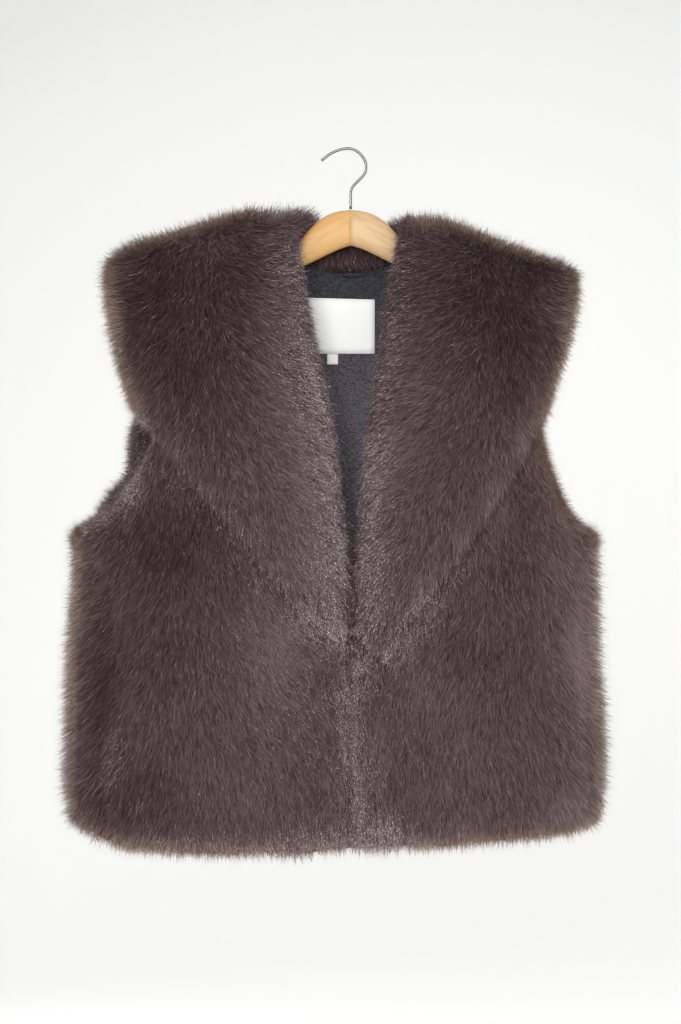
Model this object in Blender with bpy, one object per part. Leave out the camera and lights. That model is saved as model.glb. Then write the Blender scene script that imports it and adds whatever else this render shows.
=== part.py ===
"""A sleeveless gilet of long-pile cloth with a wide shawl collar, hung on a two-part wooden hanger.

+Z is up and the front faces -Y. The origin is inside the top of the hanger's hook, where it bears.
Left and right are the wearer's, so the right front lies towards -X. Sizes are millimetres here,
and MM makes them metres when a mesh is written.
"""

from collections import namedtuple

import bmesh
import bpy
import numpy as np

MM = 0.001

# Cloth and pile. A layer is a distance from the backing cloth's middle, outwards.
PILE = 24.0
PRESSED_PILE = 15.0
PRESSED_FROM, PRESSED_OVER = 8.0, 60.0
HEM_ROUNDING, HEM_THINNING = 16.0, 0.35
BACKING = 2.0
LINING = 1.0
SEAM_GAP = 0.3
COLLAR_GAP = 3.3
NECK_GAP = 2.3

# The body is a dome with an oval section. It closes to the shoulder ridge over SHOULDER_RISE.
OVAL = 2.4
SHOULDER_RISE = 120.0
UNDERARM = -379.0
UNDERARM_BLEND = 9.0
NECK_HALF_WIDTH = 62.0
NECK_DROP = 38.0

Girth = namedtuple("Girth", "height centre half_width half_depth")
GIRTHS = (
    Girth(-710, -15.0, 247, 46),
    Girth(-620, -15.0, 246, 46),
    Girth(-540, -15.5, 245, 45),
    Girth(-480, -16.0, 242, 43),
    Girth(-400, -15.5, 240, 41),
    Girth(-300, -12.0, 240, 38),
    Girth(-200, -10.0, 242, 36),
    Girth(-60, -9.0, 244, 34),
)

Ridge = namedtuple("Ridge", "from_centre height")
RIDGE = (
    Ridge(0, -84),
    Ridge(62, -92),
    Ridge(110, -114),
    Ridge(160, -131),
    Ridge(205, -145),
    Ridge(250, -152),
    Ridge(300, -156),
)

Hem = namedtuple("Hem", "across height")
HEM = (
    Hem(-290, -662),
    Hem(-272, -680),
    Hem(-245, -695),
    Hem(-190, -703),
    Hem(-110, -706),
    Hem(-50, -706),
    Hem(-5, -700),
    Hem(45, -700),
    Hem(120, -696),
    Hem(190, -690),
    Hem(230, -684),
    Hem(250, -674),
    Hem(264, -661),
)

Opening = namedtuple("Opening", "height right left")
FRONT_OPENING = (
    Opening(-710, -0.4, 0.4),
    Opening(-490, -0.4, 0.4),
    Opening(-472, -1.2, 2.4),
    Opening(-440, -4, 8),
    Opening(-396, -12, 16),
    Opening(-343, -20, 22),
    Opening(-300, -24, 26),
    Opening(-250, -34, 33),
    Opening(-205, -43, 41),
    Opening(-160, -53, 48),
    Opening(-120, -61, 57),
    Opening(-60, -62, 62),
)

SideSeam = namedtuple("SideSeam", "height right left")
SIDE_SEAMS = (
    SideSeam(-710, -218, 206),
    SideSeam(-600, -221, 208),
    SideSeam(-500, -217, 207),
    SideSeam(-465, -212, 206),
    SideSeam(-435, -222, 209),
    SideSeam(-410, -237, 214),
    SideSeam(-380, -249, 220),
)

Armhole = namedtuple("Armhole", "height front_right front_left back_right back_left")
ARMHOLES = (
    Armhole(-388, -268, 241, -277, 246),
    Armhole(-372, -255, 225, -264, 230),
    Armhole(-355, -234, 213, -246, 217),
    Armhole(-332, -212, 202, -225, 205),
    Armhole(-290, -194, 190, -216, 194),
    Armhole(-230, -188, 182, -210, 186),
    Armhole(-180, -192, 186, -207, 189),
    Armhole(-130, -205, 196, -207, 196),
)

PANEL_ROWS = (
    0, 0.018, 0.08, 0.17, 0.26, 0.33, 0.38, 0.43, 0.48, 0.515, 0.535, 0.555, 0.58,
    0.62, 0.67, 0.73, 0.79, 0.84, 0.88, 0.915, 0.943, 0.965, 0.982, 0.993, 1,
)
FRONT_COLUMNS = np.linspace(0, 1, 15)
BACK_COLUMNS = np.linspace(0, 1, 35)
BACK_EVENNESS = 0.78
LINING_COLUMNS = BACK_COLUMNS[7:-7]
LINING_GAP = 0.9

# A layer's points settle on its hem and its top in a few rounds, from this first guess.
GUESS_LOW, GUESS_HIGH = -700.0, -140.0
SETTLING_ROUNDS = 14

# The collar runs from its point, up the front opening, over the shoulder to the centre back.
# A station gives its seam on the neckline and its free edge, as places seen from the front.
Station = namedtuple("Station", "side seam_x seam_z edge_x edge_z stand foot roll crown")
FRONT, TOP, BACK = -1, 0, 1
RIGHT_COLLAR = (
    Station(FRONT, -2, -478, -7, -495, 1, 28, 32, 37),
    Station(FRONT, -5, -440, -50, -463, 4, 4, 32, 42),
    Station(FRONT, -12, -396, -86, -420, 10, -2, 32, 46),
    Station(FRONT, -20, -343, -121, -377, 11, -2, 32, 48),
    Station(FRONT, -24, -300, -157, -338, 12, -2, 32, 50),
    Station(FRONT, -34, -250, -184, -302, 12, -2, 32, 50),
    Station(FRONT, -43, -205, -215, -265, 12, -2, 32, 50),
    Station(FRONT, -53, -160, -233, -226, 12, -2, 32, 51),
    Station(FRONT, -60, -125, -243, -190, 12, -2, 31, 53),
    Station(FRONT, -62, -104, -248, -166, 12, 2, 30, 56),
    Station(TOP, -62, -92, -249, -157, 11, 7, 30, 56),
    Station(BACK, -58, -104, -246, -170, 16, 2, 29, 55),
    Station(BACK, -48, -112, -226, -214, 32, -2, 28, 50),
    Station(BACK, -30, -118, -165, -248, 44, -2, 28, 47),
    Station(BACK, -12, -121.5, -80, -262, 49, -2, 28, 46),
    Station(BACK, -0.2, -122, -0.2, -265, 50, -2, 28, 46),
)
LEFT_COLLAR = (
    Station(FRONT, 5, -482, 37, -514, 1, 28, 32, 38),
    Station(FRONT, 9, -440, 62, -468, 4, 4, 32, 42),
    Station(FRONT, 16, -396, 95, -427, 10, -2, 32, 46),
    Station(FRONT, 22, -343, 124, -388, 11, -2, 32, 48),
    Station(FRONT, 26, -300, 150, -348, 12, -2, 32, 50),
    Station(FRONT, 33, -250, 172, -312, 12, -2, 32, 50),
    Station(FRONT, 41, -205, 195, -268, 12, -2, 32, 50),
    Station(FRONT, 48, -160, 217, -222, 12, -2, 31, 49),
    Station(FRONT, 56, -125, 227, -193, 14, -2, 29, 46),
    Station(FRONT, 61, -104, 231, -172, 13, 2, 25, 42),
    Station(TOP, 62, -92, 232, -162, 10, 7, 22, 39),
    Station(BACK, 58, -104, 229, -178, 16, 2, 23, 40),
    Station(BACK, 48, -112, 208, -216, 32, -2, 25, 43),
    Station(BACK, 30, -118, 150, -248, 44, -2, 28, 46),
    Station(BACK, 12, -121.5, 75, -262, 49, -2, 28, 46),
    Station(BACK, 0.2, -122, 0.2, -265, 50, -2, 28, 46),
)

# The stand of the collar across one station: how far in from its edge, and a share of its height
Stand = namedtuple("Stand", "inset lift")
COLLAR_STAND = (
    Stand(2, 0.0),
    Stand(0, 0.3),
    Stand(0.5, 0.65),
    Stand(3, 0.88),
    Stand(8, 1.0),
)

# The fall of the collar across one station: a share of its width, and of its crown's height
Fall = namedtuple("Fall", "across rise")
COLLAR_TOP = (
    Fall(0.10, 0.50),
    Fall(0.22, 0.85),
    Fall(0.36, 1.0),
    Fall(0.52, 1.0),
    Fall(0.68, 1.0),
    Fall(0.82, 0.98),
    Fall(0.92, 0.86),
    Fall(0.975, 0.62),
    Fall(1.0, 0.28),
)
COLLAR_UNDER = (0.975, 0.87, 0.72, 0.56, 0.40, 0.25, 0.12)
ROLL_LIFT = 0.3

# The hanger, as seen from the front, with its top and underside
Arm = namedtuple("Arm", "from_joint top underside half_thickness")
ARM = (
    Arm(0.2, -59.5, -96.3, 7.0),
    Arm(10, -60.2, -99.0, 7.0),
    Arm(20, -62.6, -103.6, 7.0),
    Arm(31, -68.5, -109.0, 7.0),
    Arm(42, -79.0, -114.3, 7.0),
    Arm(51, -90.5, -118.0, 7.0),
    Arm(60, -96.2, -121.5, 6.6),
    Arm(85, -106.7, -132.0, 6.4),
    Arm(110, -117.4, -142.5, 6.2),
    Arm(135, -126.6, -151.5, 6.0),
    Arm(160, -134.6, -159.5, 5.8),
    Arm(180, -141.2, -165.3, 5.2),
    Arm(193, -146.8, -166.5, 4.4),
    Arm(199, -151.5, -163.0, 3.0),
)
ARM_JOINT = 1.0
ARM_SIDES = 14
ARM_SQUARENESS = 2.6

WIRE_RADIUS = 1.5
HOOK_SIDES_SETTING = 2
HOOK_POINTS = 34
HOOK_ROUTE = (
    (-28.5, -10.8),
    (-22.5, -5.6),
    (-16.0, -1.9),
    (-9.0, 0.6),
    (-2.0, 1.6),
    (6.0, -0.6),
    (12.5, -6.5),
    (15.9, -14.0),
    (16.0, -20.5),
    (12.6, -26.4),
    (6.4, -32.6),
    (2.0, -37.8),
    (0.6, -42.5),
    (0.6, -50.0),
    (0.6, -59.1),
)

LABEL_WIDTH, LABEL_HEIGHT = 75.0, 52.0
LABEL_CENTRE, LABEL_TOP = -12.5, -150.0
LABEL_THICKNESS = 0.6
LABEL_GAP = 0.8
TAB_WIDTH, TAB_HEIGHT = 11.0, 10.5
TAB_CENTRE = -17.5

Finish = namedtuple("Finish", "name colour roughness metallic")
FUR = Finish("fur", (0.085, 0.062, 0.060), 0.6, 0.0)
LINING_CLOTH = Finish("lining cloth", (0.018, 0.021, 0.027), 0.8, 0.0)
WOVEN_LABEL = Finish("woven label", (0.84, 0.84, 0.83), 0.7, 0.0)
HONEY_WOOD = Finish("honey wood", (0.80, 0.50, 0.24), 0.45, 0.0)
PALE_WOOD = Finish("pale wood", (0.84, 0.62, 0.40), 0.45, 0.0)
STEEL_WIRE = Finish("steel wire", (0.42, 0.42, 0.43), 0.25, 1.0)


def through(places, values):
    """A smooth function through the values, with no overshoot, level beyond both ends."""
    order = np.argsort(places)
    places = np.asarray(places, float)[order]
    values = np.asarray(values, float)[order]
    rises = np.diff(values) / np.diff(places)
    before, after = rises[:-1], rises[1:]
    least = np.minimum(np.abs(before), np.abs(after))
    inner = np.where(before * after > 0, (before + after) / 2, 0)
    inner = np.clip(inner, -3 * least, 3 * least)
    slopes = np.concatenate([rises[:1], inner, rises[-1:]])

    def at(place):
        place = np.clip(place, places[0], places[-1])
        low = np.clip(np.searchsorted(places, place) - 1, 0, len(places) - 2)
        span = places[low + 1] - places[low]
        t = (place - places[low]) / span
        start = (2 * t**3 - 3 * t**2 + 1) * values[low] + (t**3 - 2 * t**2 + t) * span * slopes[low]
        end = (3 * t**2 - 2 * t**3) * values[low + 1] + (t**3 - t**2) * span * slopes[low + 1]
        return start + end

    return at


def column(table, name):
    return [getattr(row, name) for row in table]


def smooth_step(value):
    value = np.clip(value, 0, 1)
    return value * value * (3 - 2 * value)


def signed_power(value, power):
    return np.sign(value) * np.abs(value) ** power


girth_heights = column(GIRTHS, "height")
body_centre = through(girth_heights, column(GIRTHS, "centre"))
body_half_width = through(girth_heights, column(GIRTHS, "half_width"))
body_half_depth = through(girth_heights, column(GIRTHS, "half_depth"))
ridge_from_centre = through(column(RIDGE, "from_centre"), column(RIDGE, "height"))
hem_height = through(column(HEM, "across"), column(HEM, "height"))


def ridge_height(x):
    return ridge_from_centre(np.abs(x))


def shoulder_share(x, z, layer):
    """1 on the body, falling to 0 at the layer's shoulder ridge."""
    rise = SHOULDER_RISE + layer
    drop = np.clip((ridge_height(x) + layer - z) / rise, 0, 1)
    return np.sqrt(np.clip(1 - (1 - drop) ** 2, 0, 1))


def turn_at(x, z, layer):
    """The angle round the oval section, from its front middle, at which a layer reaches x."""
    share = (x - body_centre(z)) / (body_half_width(z) + layer)
    return np.arcsin(np.clip(signed_power(share, OVAL / 2), -1, 1))


def cloth_height(x, z, layer):
    """The height of the backing cloth beneath a point of a layer."""
    fall = (ridge_height(x) + layer - z) / (SHOULDER_RISE + layer)
    return np.where(fall < 1, ridge_height(x) - SHOULDER_RISE * fall, z)


def depth_at(x, z, layer):
    """How far a layer stands before or behind the plane of the side seams."""
    share = np.abs((x - body_centre(z)) / (body_half_width(z) + layer))
    bulge = np.clip(1 - share**OVAL, 0, 1) ** (1 / OVAL)
    return (body_half_depth(z) + layer) * bulge * shoulder_share(x, z, layer)


def collar_hem(side):
    """The height of the collar's free edge across the front or the back."""
    rows = [s for s in RIGHT_COLLAR + LEFT_COLLAR if s.side == side]
    rows.sort(key=lambda s: s.edge_x)
    across, heights = column(rows, "edge_x"), column(rows, "edge_z")
    return lambda x: np.interp(x, across, heights)


COLLAR_HEMS = {FRONT: collar_hem(FRONT), BACK: collar_hem(BACK)}


def pile_at(x, z, side):
    """The outer layer: full pile, pressed under the collar and rounded off at the hem."""
    covered = smooth_step((z - COLLAR_HEMS[side](x) - PRESSED_FROM) / PRESSED_OVER)
    pile = PILE - (PILE - PRESSED_PILE) * covered
    at_hem = 1 - smooth_step((z - hem_height(x)) / HEM_ROUNDING)
    return pile * (1 - HEM_THINNING * at_hem)


def seam(name):
    return through(column(SIDE_SEAMS, "height"), column(SIDE_SEAMS, name))


def armhole(name):
    return through(column(ARMHOLES, "height"), column(ARMHOLES, name))


def opening(name):
    return through(column(FRONT_OPENING, "height"), column(FRONT_OPENING, name))


def front_top(x, layer):
    return ridge_height(x) + layer


def back_top(x, layer):
    """The shoulder ridge, dipping to the back neckline between the neck points."""
    fall = NECK_DROP / SHOULDER_RISE * np.clip(1 - (x / NECK_HALF_WIDTH) ** 2, 0, 1)
    return ridge_height(x) + layer - (SHOULDER_RISE + layer) * fall


def edge_turn(seam_x, edge_x, z, layer, beyond):
    """The turn of a panel's edge: the side seam below the underarm, the armhole above it."""
    at_seam = turn_at(seam_x(z), z, 0.0)
    at_edge = turn_at(edge_x(z), z, layer)
    if beyond:
        at_edge = np.sign(at_edge) * np.pi - at_edge
    above = smooth_step((z - UNDERARM) / (2 * UNDERARM_BLEND) + 0.5)
    return at_seam + (at_edge - at_seam) * above


def back_turn(at, x, z, layer):
    """The back panel runs behind the body, from the right side seam to the left one."""
    start = edge_turn(seam("right"), armhole("back_right"), z, layer, True)
    end = edge_turn(seam("left"), armhole("back_left"), z, layer, True)
    share = 2 * at - 1
    spread = BACK_EVENNESS * share + (1 - BACK_EVENNESS) * share**3
    middle = -np.pi
    return np.where(
        spread < 0,
        middle + (start - middle) * -spread,
        middle + (end - 2 * np.pi - middle) * spread,
    )


def front_turn(name):
    """A front panel runs from the front opening to its side seam."""
    start_x = opening(name)
    seam_x = seam(name)
    edge_x = armhole("front_" + name)

    def at_share(at, x, z, layer):
        start = turn_at(start_x(cloth_height(x, z, layer)), z, layer)
        end = edge_turn(seam_x, edge_x, z, layer, False)
        return start + (end - start) * at

    return at_share


def panel_layer(columns, rows, turn, top, layer_at):
    """Points of one layer of a panel, as an array of columns of rows."""
    at, up = np.meshgrid(columns, rows, indexing="ij")
    z = GUESS_LOW + (GUESS_HIGH - GUESS_LOW) * up
    x = np.zeros_like(z)
    for _ in range(SETTLING_ROUNDS):
        layer = layer_at(x, z)
        angle = turn(at, x, z, layer)
        reach = body_half_width(z) + layer
        x = body_centre(z) + reach * signed_power(np.sin(angle), 2 / OVAL)
        hem = hem_height(x)
        z = hem + (top(x, layer) - hem) * up
    depth = (body_half_depth(z) + layer) * signed_power(np.cos(angle), 2 / OVAL)
    y = -depth * shoulder_share(x, z, layer)
    return np.stack([x, y, z], axis=-1)


def collar_place(side, x, z):
    """The distance over the shoulder from its ridge: behind it is positive, in front negative."""
    drop = np.maximum(ridge_height(x) - z, 0) / SHOULDER_RISE
    if side == TOP:
        return 0.0
    quarter = np.pi / 2
    turn = np.arccos(1 - drop) if drop < 1 else quarter + drop - 1
    return side * SHOULDER_RISE * turn


def over_shoulder(x, run, layer):
    """The point of a layer at a distance run over the shoulder from its ridge."""
    turn = np.abs(run) / SHOULDER_RISE
    quarter = np.pi / 2
    round_top = ridge_height(x) + layer - (SHOULDER_RISE + layer) * (1 - np.cos(turn))
    straight = ridge_height(x) - SHOULDER_RISE * (1 + turn - quarter)
    z = np.where(turn < quarter, round_top, straight)
    y = np.sign(run) * depth_at(x, z, layer)
    return np.stack([x, y, z], axis=-1)


def collar_steps(stations, shoulder):
    """Two sections to each station, and three on either side of the shoulder ridge."""
    steps = []
    for station in range(stations - 1):
        parts = 3 if abs(station + 0.5 - shoulder) < 2 else 2
        steps += [station + part / parts for part in range(parts)]
    return steps + [stations - 1]


def stand_direction(along, neck_x):
    """The way up the stand behind the neck, which turns upright towards the centre back."""
    upright = along * np.array([abs(neck_x) / NECK_HALF_WIDTH, 1.0])
    return upright / np.linalg.norm(upright)


def collar_rings(table, front_opening):
    """Closed sections of one half of the collar, from its point to the centre back."""
    edge_run = [collar_place(s.side, s.edge_x, s.edge_z) for s in table]
    steps = range(len(table))
    seam_x = through(steps, column(table, "seam_x"))
    seam_z = through(steps, column(table, "seam_z"))
    edge_x, edge_s = through(steps, column(table, "edge_x")), through(steps, edge_run)
    stand, foot = through(steps, column(table, "stand")), through(steps, column(table, "foot"))
    roll, crown = through(steps, column(table, "roll")), through(steps, column(table, "crown"))
    shoulder = column(table, "side").index(TOP)
    rings = []
    for step in collar_steps(len(table), shoulder):
        side = FRONT if step < shoulder else BACK
        if side == FRONT:
            neck_z = seam_z(step)
            neck_x = front_opening(neck_z)
        else:
            neck_x = seam_x(step)
            neck_z = back_top(neck_x, 0)
        start = np.array([neck_x, collar_place(side, neck_x, neck_z)])
        end = np.array([edge_x(step), edge_s(step)])
        width = np.linalg.norm(end - start)
        along = (end - start) / width
        inward = along if side == FRONT else stand_direction(along, neck_x)
        deep, low = stand(step), foot(step)
        rise, peak = roll(step), crown(step)
        path = [(s.inset - deep, low + s.lift * (rise - low)) for s in COLLAR_STAND]
        path += [(f.across * width, None, f.rise) for f in COLLAR_TOP]
        path += [(share * width,) for share in COLLAR_UNDER]
        path += [(-NECK_GAP,), (-NECK_GAP, low)]
        ring = []
        for place in path:
            x, run = start + (inward if place[0] < 0 else along) * place[0]
            if len(place) == 2:
                layer = place[1]
            else:
                at = over_shoulder(x, run, PILE)
                under = pile_at(x, at[2], side) + COLLAR_GAP
                if len(place) == 1:
                    layer = under
                elif place[0] < 0.5 * width:
                    layer = rise + (peak - rise) * (place[2] - ROLL_LIFT) / (1 - ROLL_LIFT)
                else:
                    layer = under + (peak - under) * place[2]
            ring.append(over_shoulder(x, run, layer))
        rings.append(np.array(ring))
    return rings


def arm_rings(way):
    """Sections of one arm of the hanger, from the middle joint to its rounded tip."""
    rings = []
    for row in ARM:
        middle = 0.5 * (row.top + row.underside)
        half = 0.5 * (row.top - row.underside)
        turn = np.linspace(0, 2 * np.pi, ARM_SIDES, endpoint=False) + np.pi / 2
        y = row.half_thickness * signed_power(np.cos(turn), 2 / ARM_SQUARENESS)
        z = middle + half * signed_power(np.sin(turn), 2 / ARM_SQUARENESS)
        x = np.full_like(y, ARM_JOINT + way * row.from_joint)
        rings.append(np.stack([x, y, z], axis=-1))
    return rings


def material_of(finish):
    found = bpy.data.materials.get(finish.name)
    if found:
        return found
    made = bpy.data.materials.new(finish.name)
    made.use_nodes = True
    shader = made.node_tree.nodes["Principled BSDF"]
    shader.inputs["Base Color"].default_value = (*finish.colour, 1)
    shader.inputs["Roughness"].default_value = finish.roughness
    shader.inputs["Metallic"].default_value = finish.metallic
    return made


SHARP_FROM_DEGREES = 50


def loft(name, rings, finish, strip_ends=False):
    """A closed solid through rings of points. Strip ends suit walls, whose rings fold back."""
    bm = bmesh.new()
    rows = [[bm.verts.new(point * MM) for point in ring] for ring in rings]
    count = len(rows[0])
    for first, second in zip(rows, rows[1:]):
        for i in range(count):
            j = (i + 1) % count
            bm.faces.new((first[i], first[j], second[j], second[i]))
    for row in (rows[0], rows[-1]):
        if not strip_ends:
            bm.faces.new(row)
            continue
        for i in range(count // 2 - 1):
            bm.faces.new((row[i], row[i + 1], row[count - 2 - i], row[count - 1 - i]))
    bmesh.ops.triangulate(bm, faces=[f for f in bm.faces if len(f.verts) > 4])
    bmesh.ops.recalc_face_normals(bm, faces=bm.faces)
    mesh = bpy.data.meshes.new(name)
    bm.to_mesh(mesh)
    bm.free()
    mesh.shade_smooth()
    mesh.set_sharp_from_angle(angle=np.radians(SHARP_FROM_DEGREES))
    made = bpy.data.objects.new(name, mesh)
    bpy.context.scene.collection.objects.link(made)
    made.data.materials.append(material_of(finish))
    return made


def wall(name, inner, outer, finish):
    """A wall between two layers of a panel."""
    rings = [np.concatenate([a, b[::-1]]) for a, b in zip(inner, outer)]
    return loft(name, rings, finish, strip_ends=True)


def part_from(points, side):
    """Moves a panel's points back from the shoulder seam, which lies on the ridge."""
    points[:, -1, 1] = side * SEAM_GAP / 2
    return points


def build_front(name, side_name):
    turn = front_turn(side_name)

    def layer(layer_at):
        return panel_layer(FRONT_COLUMNS, PANEL_ROWS, turn, front_top, layer_at)

    inner = layer(lambda x, z: np.full_like(x, -BACKING))
    outer = layer(lambda x, z: pile_at(x, z, FRONT))
    return wall(name, part_from(inner, FRONT), part_from(outer, FRONT), FUR)


def back_layer(layer_at, columns=BACK_COLUMNS, rows=PANEL_ROWS):
    return panel_layer(columns, rows, back_turn, back_top, layer_at)


def clear_of_sides(points):
    """Draws a panel's two side edges back by the seam's gap, along the panel."""
    for edge, inside in ((0, 1), (-1, -2)):
        along = points[inside] - points[edge]
        length = np.linalg.norm(along, axis=-1, keepdims=True)
        points[edge] += along / length * SEAM_GAP
    return points


def build_back():
    inner = back_layer(lambda x, z: np.full_like(x, -BACKING))
    outer = back_layer(lambda x, z: pile_at(x, z, BACK))
    for points in (inner, outer):
        points[:, -1, 1] = np.maximum(points[:, -1, 1], SEAM_GAP / 2)
        clear_of_sides(points)
    return wall("back", inner, outer, FUR)


def build_lining():
    near = BACKING + LINING_GAP
    rows = PANEL_ROWS[1:-2]
    outer = back_layer(lambda x, z: np.full_like(x, -near), LINING_COLUMNS, rows)
    inner = back_layer(lambda x, z: np.full_like(x, -near - LINING), LINING_COLUMNS, rows)
    return wall("lining_back", inner, outer, LINING_CLOTH)


def patch(name, centre, top, width, height, thickness, layer, cells, finish):
    """A flat piece sewn on the lining inside the back, made from the lining's own layers."""
    x = centre + width * np.linspace(-0.5, 0.5, cells[0] + 1)[:, None]
    z = top - height * np.linspace(0, 1, cells[1] + 1)[None, :]
    x, z = np.broadcast_arrays(x, z)
    sides = []
    for at in (layer, layer - thickness):
        sides.append(np.stack([x, depth_at(x, z, at), z], axis=-1))
    return wall(name, sides[0], sides[1], finish)


def build_labels():
    on_lining = -(BACKING + LINING_GAP + LINING + LABEL_GAP)
    patch(
        "main_label", LABEL_CENTRE, LABEL_TOP, LABEL_WIDTH, LABEL_HEIGHT, LABEL_THICKNESS,
        on_lining, (6, 4), WOVEN_LABEL,
    )
    patch(
        "size_tab", TAB_CENTRE, LABEL_TOP - LABEL_HEIGHT - SEAM_GAP, TAB_WIDTH, TAB_HEIGHT,
        LABEL_THICKNESS, on_lining, (2, 2), WOVEN_LABEL,
    )


def smooth_route(corners, count):
    """Points evenly spread by share along a smooth line through the corners."""
    corners = np.array(corners, float)
    steps = np.linalg.norm(np.diff(corners, axis=0), axis=1)
    travelled = np.concatenate([[0], np.cumsum(steps)])
    places = np.linspace(0, travelled[-1], count)
    return np.stack([through(travelled, corners[:, i])(places) for i in (0, 1)], axis=-1)


def build_hook():
    curve = bpy.data.curves.new("hanger_hook", "CURVE")
    curve.dimensions = "3D"
    curve.bevel_depth = WIRE_RADIUS * MM
    curve.bevel_resolution = HOOK_SIDES_SETTING
    curve.use_fill_caps = True
    spline = curve.splines.new("POLY")
    spline.points.add(HOOK_POINTS - 1)
    for point, (x, z) in zip(spline.points, smooth_route(HOOK_ROUTE, HOOK_POINTS)):
        point.co = (x * MM, 0, z * MM, 1)
    made = bpy.data.objects.new("hanger_hook", curve)
    bpy.context.scene.collection.objects.link(made)
    curve.materials.append(material_of(STEEL_WIRE))
    return made


def main():
    for existing in list(bpy.data.objects):
        bpy.data.objects.remove(existing, do_unlink=True)
    build_back()
    build_front("front_right", "right")
    build_front("front_left", "left")
    build_lining()
    loft("collar_right", collar_rings(RIGHT_COLLAR, opening("right")), FUR)
    loft("collar_left", collar_rings(LEFT_COLLAR, opening("left")), FUR)
    build_labels()
    loft("hanger_arm_right", arm_rings(-1), HONEY_WOOD)
    loft("hanger_arm_left", arm_rings(1), PALE_WOOD)
    build_hook()


main()
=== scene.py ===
"""The looks of a long-pile gilet on a two-part wooden hanger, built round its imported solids.

Places are metres in the solids' own frame: +Z is up, the front faces -Y and the origin is inside
the top of the hook. Left and right are the wearer's. Tables are in millimetres, and MM makes
them metres.
"""

import math
from collections import namedtuple

import bmesh
import bpy
import numpy as np
from bpy.props import FloatProperty, FloatVectorProperty, IntProperty, PointerProperty
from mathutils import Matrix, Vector
from mathutils.bvhtree import BVHTree
from mathutils.kdtree import KDTree


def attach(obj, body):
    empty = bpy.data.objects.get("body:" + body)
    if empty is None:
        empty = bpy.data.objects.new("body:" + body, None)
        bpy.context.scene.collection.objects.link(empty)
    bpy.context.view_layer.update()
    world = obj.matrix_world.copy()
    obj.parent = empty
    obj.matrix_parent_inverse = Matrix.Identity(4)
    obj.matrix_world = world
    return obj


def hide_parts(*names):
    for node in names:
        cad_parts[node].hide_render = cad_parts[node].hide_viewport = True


bl_info = {
    "name": "Long-pile gilet",
    "version": (1, 0, 0),
    "blender": (4, 5, 0),
    "location": "3D View > Sidebar > Gilet",
    "description": "Dresses the packed solids of a long-pile gilet and its hanger",
    "category": "Object",
}

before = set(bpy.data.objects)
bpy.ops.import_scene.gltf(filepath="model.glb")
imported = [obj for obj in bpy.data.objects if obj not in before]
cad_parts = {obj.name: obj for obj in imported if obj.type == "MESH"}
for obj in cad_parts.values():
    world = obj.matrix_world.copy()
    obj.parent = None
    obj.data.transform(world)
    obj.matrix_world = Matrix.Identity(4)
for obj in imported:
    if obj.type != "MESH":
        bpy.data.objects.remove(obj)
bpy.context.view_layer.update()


def rows(kind, *values):
    """The rows of a table, as named tuples of one kind."""
    return tuple(kind(*row) for row in values)


MM = 0.001
BODY_NODES = ("back", "front_right", "front_left")
COLLAR_NODES = ("collar_right", "collar_left")
FUR_NODES = BODY_NODES + COLLAR_NODES
FRONT, BACK = -1, 1

# What every length and every colour of the settings has
LENGTH = {"unit": "LENGTH"}
COLOUR = {"size": 3, "subtype": "COLOR"}

# Vertices of the solids closer than this are one
SAME_PLACE = 0.02 * MM

# The body's general form, for telling the fur side of a panel from its lined side
BODY_CENTRE_X = -14 * MM
BODY_HALF_WIDTH = 243 * MM
BODY_HALF_DEPTH = 42 * MM
DOME_TOP = -110 * MM
DOME_RISE = 120 * MM

# The opening at the neck, whose edges get painted highlights and no painted rim light, and where
# the lining shows
NECK_REACH = 66 * MM
NECK_BOTTOM = -0.5

# The edges of the back panel's armholes, where its pile turns in over a strip and grows closer
ARMHOLE_STRIP = 14 * MM
ARMHOLE_FADE = 10 * MM
ARMHOLE_GROWTH = 16 * MM
ARMHOLES = (
    ((-277, -388), (-246, -355), (-225, -332), (-216, -290), (-210, -230), (-207, -150)),
    ((246, -388), (217, -355), (205, -332), (194, -290), (186, -230), (189, -150)),
)

# The way the pile lies, as listed strokes. An angle is in degrees from straight down,
# towards +X.
Stroke = namedtuple("Stroke", "x z angle")
BODY_FRONT_FLOW = rows(
    Stroke,
    (-280, -420, -50), (-278, -520, -38), (-275, -620, -26), (-268, -700, -12),
    (-225, -420, -20), (-225, -540, -16), (-222, -700, -6), (-170, -400, 0), (-170, -540, 4),
    (-170, -700, 2), (-120, -440, 18), (-120, -540, 24), (-120, -700, 10), (-75, -480, 40),
    (-75, -560, 40), (-75, -700, 16), (-35, -500, 45), (-35, -570, 36), (-32, -700, 8),
    (-8, -520, 12), (-8, -700, -2), (8, -520, -4), (8, -700, 4), (45, -550, -8), (45, -700, -2),
    (90, -530, -22), (90, -700, -8), (135, -500, -24), (135, -700, -5), (185, -470, -6),
    (185, -700, 2), (228, -440, 18), (232, -600, 20), (235, -700, 8), (258, -500, 36),
    (260, -690, 14),
)
COLLAR_FRONT_FLOW = rows(
    Stroke,
    (-246, -170, -75), (-244, -220, -48), (-222, -285, -28), (-190, -320, -14),
    (-200, -200, -22), (-150, -130, 0), (-150, -220, 4), (-150, -320, 4), (-100, -120, 40),
    (-95, -200, 34), (-95, -300, 34), (-100, -380, 16), (-62, -105, 80), (-52, -160, 58),
    (-48, -240, 56), (-42, -320, 50), (-55, -420, 24), (-20, -400, 36), (-10, -470, 12),
    (12, -470, -8), (28, -400, -34), (48, -440, -18), (38, -320, -50), (44, -240, -56),
    (50, -160, -56), (62, -105, -78), (95, -380, -16), (95, -300, -36), (98, -200, -42),
    (100, -120, -42), (145, -320, -10), (150, -220, -16), (150, -130, -6), (195, -210, 14),
    (185, -300, 8), (228, -180, 60), (225, -240, 38),
)
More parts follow.
